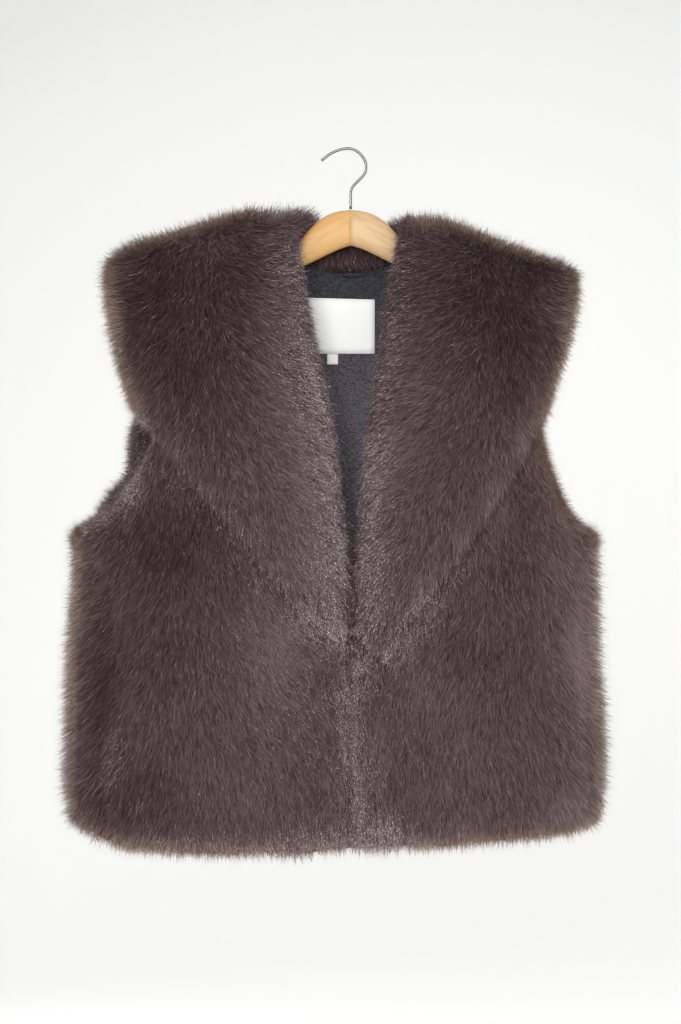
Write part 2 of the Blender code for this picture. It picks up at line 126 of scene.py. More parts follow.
BACK_FLOW = rows(
    Stroke,
    (-275, -420, -42), (-275, -600, -28), (-225, -200, -40), (-215, -450, -18),
    (-215, -690, -8), (-120, -150, -14), (-120, -450, -7), (-120, -690, -4), (-15, -150, 0),
    (-15, -450, 2), (-15, -690, 0), (95, -150, 14), (95, -450, 7), (95, -690, 3),
    (205, -200, 40), (195, -450, 18), (195, -690, 8), (255, -420, 42), (255, -600, 28),
)
FLOW_REACH = 55 * MM

# Soft troughs in the cloth. Each runs between two places on one side, fading at both ends.
Crease = namedtuple("Crease", "side x1 z1 x2 z2 half_width depth")
CREASES = rows(
    Crease,
    (FRONT, 0, -450, 0, -716, 3.5, 7.0), (FRONT, -16, -500, -9, -690, 15, 5.0),
    (FRONT, 44, -530, 52, -702, 13, 4.0), (FRONT, -88, -664, -86, -712, 12, 5.0),
    (FRONT, -33, -672, -31, -712, 10, 4.5), (FRONT, -238, -410, -242, -600, 14, 6.0),
    (FRONT, 232, -470, 246, -545, 12, 5.0), (FRONT, -120, -560, -150, -650, 20, 2.5),
    (FRONT, 120, -545, 150, -640, 22, 2.5), (FRONT, 150, -640, 140, -700, 16, 2.5),
    (BACK, -90, -420, -70, -600, 20, 3.5), (BACK, 60, -390, 85, -560, 22, 3.0),
    (BACK, 20, -560, 5, -705, 14, 4.0), (BACK, -170, -560, -150, -705, 16, 4.0),
    (BACK, 165, -520, 150, -690, 18, 3.5),
)

# Lighter and darker areas of the pile at the front, as soft spots. Most are painted light and shade
# on folds, edges and lit or shaded sides, and some change the pile's own tone.
LightAndToneSpot = namedtuple("LightAndToneSpot", "x z wide high tone")
LIGHT_AND_TONE_SPOTS = rows(
    LightAndToneSpot,
    (-120, -150, 40, 45, -0.07), (-160, -185, 45, 60, -0.04), (-160, -92, 46, 15, 0.28),
    (-98, -130, 30, 60, -0.07), (-218, -152, 18, 22, -0.20), (-70, -150, 16, 60, 0.08),
    (-207, -165, 40, 60, -0.22), (-168, -240, 45, 70, -0.15), (-110, -240, 35, 60, -0.08),
    (-75, -290, 34, 90, 0.09), (-36, -380, 18, 90, 0.12), (-60, -410, 40, 60, 0.06),
    (-175, -305, 22, 14, 0.10), (-8, -435, 14, 40, 0.12), (20, -345, 14, 55, 0.10),
    (110, -150, 60, 70, -0.10), (150, -200, 50, 60, -0.06), (85, -92, 20, 12, 0.16),
    (160, -92, 32, 10, 0.18), (60, -150, 30, 65, -0.07), (174, -190, 40, 55, -0.15),
    (152, -250, 30, 40, -0.05), (52, -300, 30, 90, 0.04), (50, -430, 35, 60, 0.07),
    (112, -395, 14, 16, 0.16), (82, -440, 16, 30, 0.10), (142, -358, 16, 34, 0.22),
    (172, -298, 14, 27, 0.18), (172, -354, 14, 26, -0.10), (-200, -400, 65, 50, -0.20),
    (-150, -395, 50, 50, -0.05), (-247, -540, 20, 60, -0.28), (-190, -500, 50, 60, -0.10),
    (-225, -645, 50, 45, -0.19), (-70, -500, 34, 45, 0.20), (-88, -545, 35, 50, 0.07),
    (-70, -600, 30, 60, 0.05), (-14, -590, 16, 120, 0.03), (30, -600, 14, 30, 0.10),
    (55, -490, 12, 20, 0.16), (70, -535, 30, 45, 0.10), (112, -610, 26, 60, 0.06),
    (172, -420, 30, 50, -0.08), (240, -520, 20, 150, 0.15), (206, -440, 26, 70, 0.10),
    (234, -505, 13, 60, 0.20), (226, -664, 34, 26, 0.27), (0, -108, 50, 14, -0.22),
    (-216, -300, 10, 40, 0.55), (236, -505, 22, 50, 0.22), (-40, -330, 20, 120, 0.05),
    (-8, -335, 14, 24, 0.12),
)

# Strips at the front where the pile bends and catches the light, painted as highlights. The last
# column sets how many hairs there get a painted near-white gleam.
Glint = namedtuple("Glint", "x1 z1 x2 z2 half_width silver")
GLINTS = rows(
    Glint,
    (-58, -112, -43, -205, 18, 0.20), (-43, -205, -27, -274, 20, 0.38),
    (-27, -274, -10, -400, 18, 0.44), (-12, -390, -10, -480, 22, 0.54),
    (52, -112, 38, -205, 14, 0.09), (36, -205, 24, -300, 12, 0.11),
    (24, -300, 16, -400, 15, 0.32), (18, -400, 10, -470, 20, 0.38),
    (-172, -322, -130, -368, 10, 0.08), (-130, -368, -86, -424, 12, 0.08),
    (-86, -424, -46, -468, 14, 0.12), (-46, -468, -8, -492, 16, 0.46),
    (112, -412, 84, -445, 10, 0.12), (78, -452, 42, -506, 13, 0.38),
    (14, -505, -1, -545, 15, 0.35), (-1, -545, 2, -612, 11, 0.38), (4, -612, 8, -640, 16, 0.26),
    (6, -640, 8, -700, 12, 0.35), (-70, -480, -45, -560, 33, 0.04),
    (30, -678, 36, -700, 21, 0.38), (-62, -692, -12, -688, 14, 0.21),
    (-232, -590, -236, -630, 10, 0.08), (-185, -694, -60, -700, 10, 0.11),
    (-214, -280, -222, -345, 13, 0.60), (-222, -345, -262, -372, 12, 0.22),
)

# Where the hanger's two arms are glued together
JOINT_X = 1.0

# Places where the pile is pulled up, down or across, round the hanger and at the outline. Across
# is towards +X.
Tuft = namedtuple("Tuft", "x y z reach across up")
TUFTS = rows(
    Tuft,
    (-52, 10, -66, 19, 20, 6), (-85, 0, -60, 30, 0, 4), (48, 10, -74, 14, -6, 4),
    (-34, 28, -110, 17, 0, -9), (36, 28, -110, 17, 0, -9), (-214, 20, -290, 26, -10, 0),
    (-236, 12, -340, 22, -5, 4), (-285, 0, -620, 70, -5, 0), (-283, 0, -500, 60, -4, 0),
    (-247, 0, -215, 50, -5, 0), (254, 0, -580, 100, 4, 0), (250, 0, -430, 50, 3, 0),
    (-266, 0, -376, 22, -2, 4), (85, 0, -72, 38, 0, 7), (-205, 0, -695, 42, 0, -4),
    (-215, 0, -95, 32, 0, 3),
)

# The pile turns under at the hem, so the tips below a height are lifted
HEM_LIFT = 5 * MM
HEM_LIFTED = -665 * MM
HEM_FADE = 25 * MM

# The turn of the locks and of single hairs, the spread of a hair's lean, and how much more
# upright stray hairs and the rim stand, in radians
LOCK_TURN = 0.09
HAIR_TURN = 0.3
LEAN_SPREAD = 0.14
STRAY_RISE = 0.3
RIM_RISE = 0.35

# What a hair's length, height, overhang and width are drawn from, as shares of the settings, and
# how wide stray and gleaming hairs are beside the others
LENGTH_RANGE = (0.72, 1.15)
HEIGHT_RANGE = (-0.6, 0.2, 0.5)
OVERHANG_RANGE = (-0.3, 1.0)
WIDTH_RANGE = (0.6, 1.3)
STRAY_WIDTH = 0.9
GLINT_WIDTH = 1.35

# How far the locks rise and sink
LOCK_HEIGHT = 0.3 * MM

# The rim of the pile, painted paler as rim light and standing more upright: how far it reaches in
# from the outline, and the width it fades over
RIM_REACH = 16 * MM
RIM_FADE = 13 * MM

# Distances over which the pile's locks, their turn, the patches of painted highlights and the
# tone change
LOCK_SIZE = 9 * MM
LOCK_TURN_SIZE = 26 * MM
HIGHLIGHT_PATCH_SIZE = 6 * MM
TONE_SIZE = 70 * MM

# Tones run from 0 to 1: those of plain hairs, of hairs painted paler as rim light and of the ones
# with a painted highlight. The rim's tone is also raised as painted rim light.
MIDDLE_TONE = 0.487
RIM_TONE = 0.05
STRAY_TONE = 0.04
TONE_SPREAD = 0.20
HIGHLIGHT_SPREAD = 0.34
PLAIN_TONES = (0.02, 0.80)
RIM_LIT_TONES = (0.83, 0.88)
GLINT_TONES = (0.91, 0.99)
GLEAM_FROM = 0.90

# How far along itself a hair is widest
WIDEST_AT = 0.6

# How many of the hairs in a strip get a painted highlight for each part of its share, and the
# share that does anywhere
HIGHLIGHT_GAIN = 1.7
STRAY_GLINTS = 0.012

# A gleam's middle along its hair at the lowest tone, how far it moves with the tone, and how
# sharply it ends
GLEAM_START = 0.66
GLEAM_SHIFT = 3.2
GLEAM_SHARPNESS = 34


class Socket:
    """A node's output, which sums, products and powers of values are written with."""

    def __init__(self, nodes, output):
        self.nodes = nodes
        self.output = output

    def _maths(self, operation, first, second):
        return self.nodes.add("ShaderNodeMath", {"operation": operation}, {0: first, 1: second})

    def __add__(self, other):
        return self._maths("ADD", self, other)

    __radd__ = __add__

    def __sub__(self, other):
        return self._maths("SUBTRACT", self, other)

    def __rsub__(self, other):
        return self._maths("SUBTRACT", other, self)

    def __mul__(self, other):
        return self._maths("MULTIPLY", self, other)

    __rmul__ = __mul__

    def __truediv__(self, other):
        return self._maths("DIVIDE", self, other)

    def __pow__(self, other):
        return self._maths("POWER", self, other)

    def sine(self):
        return self._maths("SINE", self, 0.0)

    def size(self):
        return self._maths("ABSOLUTE", self, 0.0)

    def clamped(self):
        return self.nodes.add("ShaderNodeClamp", {}, {"Value": self})


class Material:
    """A material with one Principled shader, and a short way of adding nodes to it."""

    def __init__(self, name):
        self.material = bpy.data.materials.new(name)
        self.material.use_nodes = True
        self.tree = self.material.node_tree
        self.shader = self.tree.nodes["Principled BSDF"]

    def add(self, kind, settings, inputs, output=0):
        """Adds a node. A setting named stops fills a colour ramp, the others are the node's own."""
        node = self.tree.nodes.new(kind)
        for name, value in settings.items():
            if name != "stops":
                setattr(node, name, value)
                continue
            elements = node.color_ramp.elements
            for place, colour in value[1:-1]:
                elements.new(place).color = (*colour, 1)
            elements[0].position, elements[0].color = value[0][0], (*value[0][1], 1)
            elements[-1].position, elements[-1].color = value[-1][0], (*value[-1][1], 1)
        for name, value in inputs.items():
            self.feed(node.inputs[name], value)
        return Socket(self, node.outputs[output])

    def feed(self, socket, value):
        if isinstance(value, Socket):
            self.tree.links.new(value.output, socket)
        elif hasattr(value, "__len__") and len(value) == 3 and socket.type == "RGBA":
            socket.default_value = (*value, 1)
        else:
            socket.default_value = value

    def set(self, **inputs):
        """Sets or links the shader's own sockets, whose names are given with _ for a space."""
        for name, value in inputs.items():
            self.feed(self.shader.inputs[name.replace("_", " ")], value)
        return self.material

    def ramp(self, value, *stops):
        return self.add("ShaderNodeValToRGB", {"stops": stops}, {"Fac": value})

    def mix(self, share, first, second, blend="MIX"):
        """A mix of two colours."""
        settings = {"data_type": "RGBA", "blend_type": blend}
        return self.add("ShaderNodeMix", settings, {0: share, 6: first, 7: second}, output=2)

    def place(self, scale=(1, 1, 1), rotation=(0, 0, 0), location=(0, 0, 0)):
        """Places on the object, turned and scaled for a pattern."""
        where = self.add("ShaderNodeTexCoord", {}, {}, output="Object")
        inputs = {"Vector": where, "Location": location, "Rotation": rotation, "Scale": scale}
        return self.add("ShaderNodeMapping", {"vector_type": "POINT"}, inputs)

    def stretched(self, vector, scale):
        inputs = {"Vector": vector, "Scale": scale}
        return self.add("ShaderNodeMapping", {"vector_type": "POINT"}, inputs)

    def noise(self, vector, scale, detail=3.0, roughness=0.5, distortion=0.0):
        inputs = {
            "Vector": vector,
            "Scale": scale,
            "Detail": detail,
            "Roughness": roughness,
            "Distortion": distortion,
        }
        return self.add("ShaderNodeTexNoise", {}, inputs)

    def axes(self, vector):
        """The three parts of a vector."""
        first = self.add("ShaderNodeSeparateXYZ", {}, {"Vector": vector})
        return [Socket(self, output) for output in first.output.node.outputs]

    def attribute(self, name):
        settings = {"attribute_name": name, "attribute_type": "GEOMETRY"}
        return self.add("ShaderNodeAttribute", settings, {}, output="Fac")

    def bump(self, height, distance):
        return self.add("ShaderNodeBump", {}, {"Height": height, "Distance": distance})


class FurSettings(bpy.types.PropertyGroup):
    undercoat_depth: FloatProperty(
        name="Undercoat depth", description="How far the undercoat lies below the tips of the pile",
        default=12 * MM, **LENGTH,
    )
    hair_length: FloatProperty(
        name="Hair length", description="Mean length of a hair", default=23 * MM, **LENGTH
    )
    hair_width: FloatProperty(
        name="Hair width", description="Widest part of a hair", default=0.33 * MM, **LENGTH
    )
    tip_spread: FloatProperty(
        name="Tip spread", description="How unevenly deep the tips end", default=10 * MM, **LENGTH
    )
    overhang: FloatProperty(
        name="Overhang", description="How far tips reach over an edge", default=5 * MM, **LENGTH
    )
    stray_share: FloatProperty(
        name="Stray share", description="Share of hairs that stand out", default=0.13
    )
    stray_height: FloatProperty(
        name="Stray height", description="How far the strays stand out", default=11 * MM, **LENGTH
    )
    # Painted rim light: the share of hairs near the outline painted paler, as if lit from behind
    rim_lit_share: FloatProperty(
        name="Tan share", description="Share of tan hairs round the outline", default=0.85
    )
    lean: FloatProperty(
        name="Lean", description="Angle between a hair and the cloth's normal",
        default=math.radians(52), subtype="ANGLE",
    )
    twist: FloatProperty(
        name="Twist", description="How far hairs turn round themselves", default=0.5, subtype="ANGLE"
    )
    front_hairs: IntProperty(
        name="Hairs on a front", description="Hairs on each front panel", default=140000
    )
    collar_hairs: IntProperty(
        name="Hairs on a collar half", description="Hairs on each half of the collar", default=180000
    )
    back_hairs: IntProperty(
        name="Hairs on the back", description="Hairs on the back panel", default=240000
    )
    seed: IntProperty(name="Seed", description="Start of the random draws", default=7)


class FurColours(bpy.types.PropertyGroup):
    root: FloatVectorProperty(
        name="Root", description="Darkest hairs", default=(0.022, 0.012, 0.013), **COLOUR
    )
    dark: FloatVectorProperty(
        name="Dark", description="Dark hairs", default=(0.056, 0.032, 0.034), **COLOUR
    )
    middle: FloatVectorProperty(
        name="Middle", description="Most hairs", default=(0.112, 0.064, 0.068), **COLOUR
    )
    light: FloatVectorProperty(
        name="Light", description="Light hairs", default=(0.188, 0.125, 0.127), **COLOUR
    )
    pale: FloatVectorProperty(
        name="Pale", description="Palest plain hairs", default=(0.26, 0.19, 0.19), **COLOUR
    )
    # The next two colours are painted rim light: hairs near the outline painted paler, as if lit from
    # behind
    rim_lit_dark: FloatVectorProperty(
        name="Dun", description="Darker rim hairs", default=(0.21, 0.142, 0.112), **COLOUR
    )
    tan: FloatVectorProperty(
        name="Tan", description="Paler rim hairs", default=(0.40, 0.293, 0.226), **COLOUR
    )
    # Painted highlight: the near-white gleam painted near the tips of hairs that catch the light
    silver: FloatVectorProperty(
        name="Silver", description="Hairs that catch the light", default=(0.95, 0.93, 0.93), **COLOUR
    )


class ClothSettings(bpy.types.PropertyGroup):
    lining: FloatVectorProperty(
        name="Lining", description="Colour of the lining", default=(0.056, 0.054, 0.061), **COLOUR
    )
    label: FloatVectorProperty(
        name="Label", description="Colour of the label", default=(0.86, 0.86, 0.845), **COLOUR
    )
    thread_pitch: FloatProperty(
        name="Thread pitch", description="Distance between the lining's threads", default=0.9 * MM,
        **LENGTH,
    )


class HangerSettings(bpy.types.PropertyGroup):
    honey: FloatVectorProperty(
        name="Honey wood", description="The right arm's wood", default=(0.505, 0.29, 0.100), **COLOUR
    )
    pale: FloatVectorProperty(
        name="Pale wood", description="The left arm's wood", default=(0.505, 0.335, 0.178), **COLOUR
    )


class StageSettings(bpy.types.PropertyGroup):
    lens: FloatProperty(
        name="Lens", description="Focal length of the camera, on a 36 mm sensor", default=100.0
    )
    view_height: FloatProperty(
        name="View height", description="Height of the view at the garment", default=1.024, **LENGTH
    )
    aim: FloatVectorProperty(
        name="Aim", description="Where the camera looks", default=(-0.0095, 0.0, -0.362), size=3,
        subtype="XYZ",
    )
    backdrop: FloatVectorProperty(
        name="Backdrop", description="Colour of the floor and backdrop", default=(0.90, 0.90, 0.892),
        **COLOUR,
    )
    pool: FloatVectorProperty(
        name="Pool of light", description="Middle of the light on the backdrop, as X and Z",
        default=(0.3, -0.96), size=2, subtype="XYZ",
    )
    floor_drop: FloatProperty(
        name="Floor drop", description="The floor below the origin", default=1.5, **LENGTH
    )
    sweep_radius: FloatProperty(
        name="Sweep radius", description="Radius of the pale sweep round the set", default=7.0, **LENGTH
    )


def new_object(name, mesh, *materials):
    """An object in the scene, from a finished mesh."""
    made = bpy.data.objects.new(name, mesh)
    bpy.context.scene.collection.objects.link(made)
    for material in materials:
        mesh.materials.append(material)
    return made


def dressed(name, mesh, node, slot, *materials):
    """A piece that takes the place of a CAD node, on the one body that there is."""
    made = new_object(name, mesh, *materials)
    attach(made, "root")
    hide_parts(node)
    return made


def merged(node):
    """A bmesh of a CAD node, with its loose triangles merged and paired into quads again."""
    bm = bmesh.new()
    bm.from_mesh(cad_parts[node].data)
    bmesh.ops.remove_doubles(bm, verts=bm.verts, dist=SAME_PLACE)
    flat, square = math.radians(40), math.radians(50)
    bmesh.ops.join_triangles(
        bm, faces=bm.faces, angle_face_threshold=flat, angle_shape_threshold=square
    )
    return bm


def modified(bm, *steps):
    """The smooth mesh of a bmesh after some modifiers, each given as its kind and its settings."""
    mesh = bpy.data.meshes.new("modified")
    bm.to_mesh(mesh)
    bm.free()
    holder = bpy.data.objects.new("modified", mesh)
    bpy.context.scene.collection.objects.link(holder)
    for kind, settings in steps:
        modifier = holder.modifiers.new(kind, kind)
        for name, value in settings.items():
            setattr(modifier, name, value)
    seen = holder.evaluated_get(bpy.context.evaluated_depsgraph_get())
    made = bpy.data.meshes.new_from_object(seen)
    bpy.data.objects.remove(holder)
    bpy.data.meshes.remove(mesh)
    made.materials.clear()
    made.shade_smooth()
    return made


def rounded(bm, levels, crease_from):
    """The mesh of a bmesh after Catmull-Clark rounding. Edges sharper than crease_from stay."""
    layer = bm.edges.layers.float.new("crease_edge")
    for edge in bm.edges:
        if edge.calc_face_angle(0.0) > crease_from:
            edge[layer] = 1.0
    return modified(bm, ("SUBSURF", {"levels": levels, "render_levels": levels}))


def points_of(mesh):
    points = np.empty(len(mesh.vertices) * 3, np.float32)
    mesh.vertices.foreach_get("co", points)
    return points.reshape(-1, 3).astype(float)


def normals_of(mesh):
    normals = np.empty(len(mesh.vertices) * 3, np.float32)
    mesh.vertex_normals.foreach_get("vector", normals)
    return normals.reshape(-1, 3).astype(float)


def triangles_of(mesh):
    mesh.calc_loop_triangles()
    corners = np.empty(len(mesh.loop_triangles) * 3, np.int32)
    mesh.loop_triangles.foreach_get("vertices", corners)
    return corners.reshape(-1, 3)


def put_points(mesh, points):
    mesh.vertices.foreach_set("co", points.astype(np.float32).ravel())
    mesh.update()


def unit(vectors):
    length = np.linalg.norm(vectors, axis=-1, keepdims=True)
    return vectors / np.maximum(length, 1e-9)


def smooth_step(value):
    value = np.clip(value, 0, 1)
    return value * value * (3 - 2 * value)


def outwards(points):
    """The way out from the body's hollow at each point."""
    across = (points[:, 0] - BODY_CENTRE_X) / BODY_HALF_WIDTH**2
    deep = points[:, 1] / BODY_HALF_DEPTH**2
    up = np.maximum(points[:, 2] - (DOME_TOP - DOME_RISE), 0) / DOME_RISE**2
    return unit(np.stack([across, deep, up], axis=1))


def furred_share(node, points, normals):
    """1 on the fur side and round the edges of a panel, 0 on its lined side."""
    if node in COLLAR_NODES:
        return np.ones(len(points))
    facing = np.einsum("ij,ij->i", normals, outwards(points))
    share = smooth_step((facing + 0.75) / 0.5)
    turned_in = 1 - smooth_step((armhole_distance(points) - ARMHOLE_STRIP) / ARMHOLE_FADE)
    return np.maximum(share, turned_in)


def armhole_distance(points):
    """How far each point lies from the edges of the armholes, seen from the front."""
    nearest = np.full(len(points), 1.0)
    for armhole in ARMHOLES:
        for start, end in zip(armhole, armhole[1:]):
            first, run = np.array(start) * MM, (np.array(end) - np.array(start)) * MM
            place = points[:, [0, 2]] - first
            along = np.clip(place @ run / (run @ run), 0, 1)[:, None]
            nearest = np.minimum(nearest, np.linalg.norm(place - along * run, axis=1))
    return nearest


def near_line(points, line):
    """How near each point lies to a line with two ends and a half width, and its share along it."""
    start = np.array([line.x1, line.z1]) * MM
    run = np.array([line.x2, line.z2]) * MM - start
    place = points[:, [0, 2]] - start
    along = place @ run / (run @ run)
    off = np.linalg.norm(place - np.clip(along, 0, 1)[:, None] * run, axis=1)
    return np.exp(-((off / (line.half_width * MM)) ** 2)), along


def crease_depth(points, normals):
    """How deep the troughs of their side are at some points."""
    fade = 0.25
    depth = np.zeros(len(points))
    for crease in CREASES:
        near, along = near_line(points, crease)
        ends = smooth_step(along / fade) * smooth_step((1.15 - along) / fade)
        on_side = smooth_step(crease.side * normals[:, 1] * 2.5)
        depth += crease.depth * MM * near * ends * on_side
    return depth


def tree_of(points, triangles):
    return BVHTree.FromPolygons(points.tolist(), triangles.tolist())


def tree_of_node(node):
    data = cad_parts[node].data
    return tree_of(points_of(data), triangles_of(data))


def thickness_at(points, normals, tree):
    """The wall's thickness behind each point, which lies on its skin."""
    skin = 2.5 * MM
    found = np.empty(len(points))
    for index, (point, normal) in enumerate(zip(points, normals)):
        direction = Vector(-normal)
        hit = tree.ray_cast(Vector(point) + direction * skin, direction)
        found[index] = hit[3] + skin if hit[3] is not None else 0
    return found


def coherent(points, scale, rng, waves=9):
    """A smooth random value at each point, about -1 to 1, that changes over the given distance."""
    total = np.zeros(len(points))
    for _ in range(waves):
        way = unit(rng.normal(size=3)[None])[0]
        turn = way * (2 * math.pi / scale) * rng.uniform(0.5, 1.3)
        total += np.sin(points @ turn + rng.uniform(0, 2 * math.pi))
    return total / math.sqrt(waves)


def stroke_angles(strokes, points):
    """The lie of the pile at each point, from the strokes near it."""
    sine, cosine, total = 0, 0, 1e-12
    for stroke in strokes:
        gap = (points[:, 0] - stroke.x * MM) ** 2 + (points[:, 2] - stroke.z * MM) ** 2
        weight = 1 / (gap / FLOW_REACH**2 + 0.02) ** 2
        sine = sine + weight * math.sin(math.radians(stroke.angle))
        cosine = cosine + weight * math.cos(math.radians(stroke.angle))
        total = total + weight
    return np.arctan2(sine, cosine)


def pile_flow(node, points, normals, jitter):
    """The way the pile lies, along the surface. It is shorter where the pile stands upright."""
    at_front = stroke_angles(COLLAR_FRONT_FLOW if node in COLLAR_NODES else BODY_FRONT_FLOW, points)
    at_back = stroke_angles(BACK_FLOW, points)
    blend, shoulder, upright = 30 * MM, 26 * MM, 0.45
    share = smooth_step(0.5 - points[:, 1] / blend)
    angle = at_back + (at_front - at_back) * share + jitter
    over = np.clip(points[:, 1] / shoulder, -1, 1) * np.clip(normals[:, 2], 0, 1)
    flow = np.stack([np.sin(angle), over, -np.cos(angle)], axis=1)
    flow -= normals * np.einsum("ij,ij->i", flow, normals)[:, None]
    length = np.linalg.norm(flow, axis=1, keepdims=True)
    return flow / np.maximum(length, upright)


def light_and_tone_at(points, normals):
    """The tone change, mostly painted light and shade, and the painted highlights' share at each point.
    """
    tone = np.zeros(len(points))
    silver = np.zeros(len(points))
    for spot in LIGHT_AND_TONE_SPOTS:
        across = (points[:, 0] - spot.x * MM) / (spot.wide * MM)
        up = (points[:, 2] - spot.z * MM) / (spot.high * MM)
        near = np.exp(-(across**2) - up**2) * smooth_step(FRONT * normals[:, 1] * 2 + 0.6)
        tone += spot.tone * near
    for glint in GLINTS:
        near = near_line(points, glint)[0] * smooth_step(FRONT * normals[:, 1] * 2 + 0.8)
        silver = np.maximum(silver, glint.silver * near)
    return tone, silver


class Envelope:
    """The smooth outside of some fur pieces together, with no gap at the seams between them."""

    def __init__(self, nodes):
        bm = bmesh.new()
        for node in nodes:
            bm.from_mesh(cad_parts[node].data)
        bmesh.ops.remove_doubles(bm, verts=bm.verts, dist=SAME_PLACE)
        mesh = modified(
            bm,
            ("REMESH", {"mode": "VOXEL", "voxel_size": 3.5 * MM}),
            ("SMOOTH", {"factor": 0.5, "iterations": 4}),
        )
        self.points, self.normals = points_of(mesh), normals_of(mesh)
        self.triangles = triangles_of(mesh)
        self.tree = tree_of(self.points, self.triangles)
        bpy.data.meshes.remove(mesh)
        self.edge = self.outline()

    def outline(self):
        """The places of the gilet's outline, as seen from the front, other than at the neck."""
        beyond = 6 * MM
        solids = [tree_of_node(node) for node in FUR_NODES]
        at_neck = (np.abs(self.points[:, 0]) < NECK_REACH) & (self.points[:, 2] > NECK_BOTTOM)
        turned = (np.abs(self.normals[:, 1]) < 0.25) & ~at_neck
        edge = KDTree(int(turned.sum()))
        back = Vector((0, 1, 0))
        for index, (point, normal) in enumerate(zip(self.points[turned], self.normals[turned])):
            x, _, z = point + beyond * normal
            if all(tree.ray_cast(Vector((x, -1, z)), back)[0] is None for tree in solids):
                edge.insert((point[0], 0, point[2]), index)
        edge.balance()
        return edge

    def edge_distance(self, points):
        """How far each point lies from the outline, seen from the front."""
        return np.array([self.edge.find((point[0], 0, point[2]))[2] for point in points])

    def nearest(self, points):
        """The nearest place on the envelope to each point, its normal there and how far it is."""
        found = [self.tree.find_nearest(Vector(point)) for point in points]
        place = np.array([tuple(hit[0]) for hit in found])
        corners = self.triangles[[hit[2] for hit in found]]
        gaps = np.linalg.norm(self.points[corners] - place[:, None], axis=2)
        weights = 1 / (gaps + 0.05 * MM)
        normal = unit((self.normals[corners] * weights[:, :, None]).sum(axis=1))
        return place, normal, np.linalg.norm(points - place, axis=1)


def tufts_at(points):
    """How far the tufts pull the tips at each point."""
    pull = np.zeros((len(points), 3))
    for tuft in TUFTS:
        off = np.linalg.norm(points - np.array([tuft.x, tuft.y, tuft.z]) * MM, axis=1)
        near = np.exp(-((off / (tuft.reach * MM)) ** 2))[:, None]
        pull += near * np.array([tuft.across, 0, tuft.up]) * MM
    return pull


Form = namedtuple("Form", "node points normals triangles share edge")


def fur_form(node, envelope):
    """The outer form of a fur piece: its solid, drawn to the smooth outside that it shares."""
    mesh = modified(
        merged(node), ("SUBSURF", {"subdivision_type": "SIMPLE", "levels": 1, "render_levels": 1})
    )
    points, normals = points_of(mesh), normals_of(mesh)
    place, smooth, gap = envelope.nearest(points)
    reach, fade = 7 * MM, 4 * MM
    drawn = smooth_step((reach - gap) / fade)[:, None]
    points = points + (place - points) * drawn
    normals = unit(normals * (1 - drawn) + smooth * drawn)
    share = furred_share(node, points, normals) * (drawn[:, 0] > 0.2)
    put_points(mesh, points)
    edge = envelope.edge_distance(points)
    return mesh, Form(node, points, normals, triangles_of(mesh), share, edge)


def open_share(form, others):
    """How openly each triangle of a form is seen past its neighbours, from close by."""
    reach = 16 * MM
    centres = form.points[form.triangles].mean(axis=1)
    normals = unit(form.normals[form.triangles].mean(axis=1))
    down = np.array([0.0, 0.0, -1.0])
    ways = [normals]
    for side in (unit(np.cross(normals, down)), np.cross(normals, unit(np.cross(normals, down)))):
        ways += [unit(normals + 0.9 * side), unit(normals - 0.9 * side)]
    seen = np.zeros(len(centres))
    for directions in ways:
        for index, (centre, way) in enumerate(zip(centres, directions)):
            start, direction = Vector(centre), Vector(way)
            if all(tree.ray_cast(start, direction, reach)[3] is None for tree in others):
                seen[index] += 1 / len(ways)
    return seen


Hairs = namedtuple("Hairs", "root middle tip tone flipped")


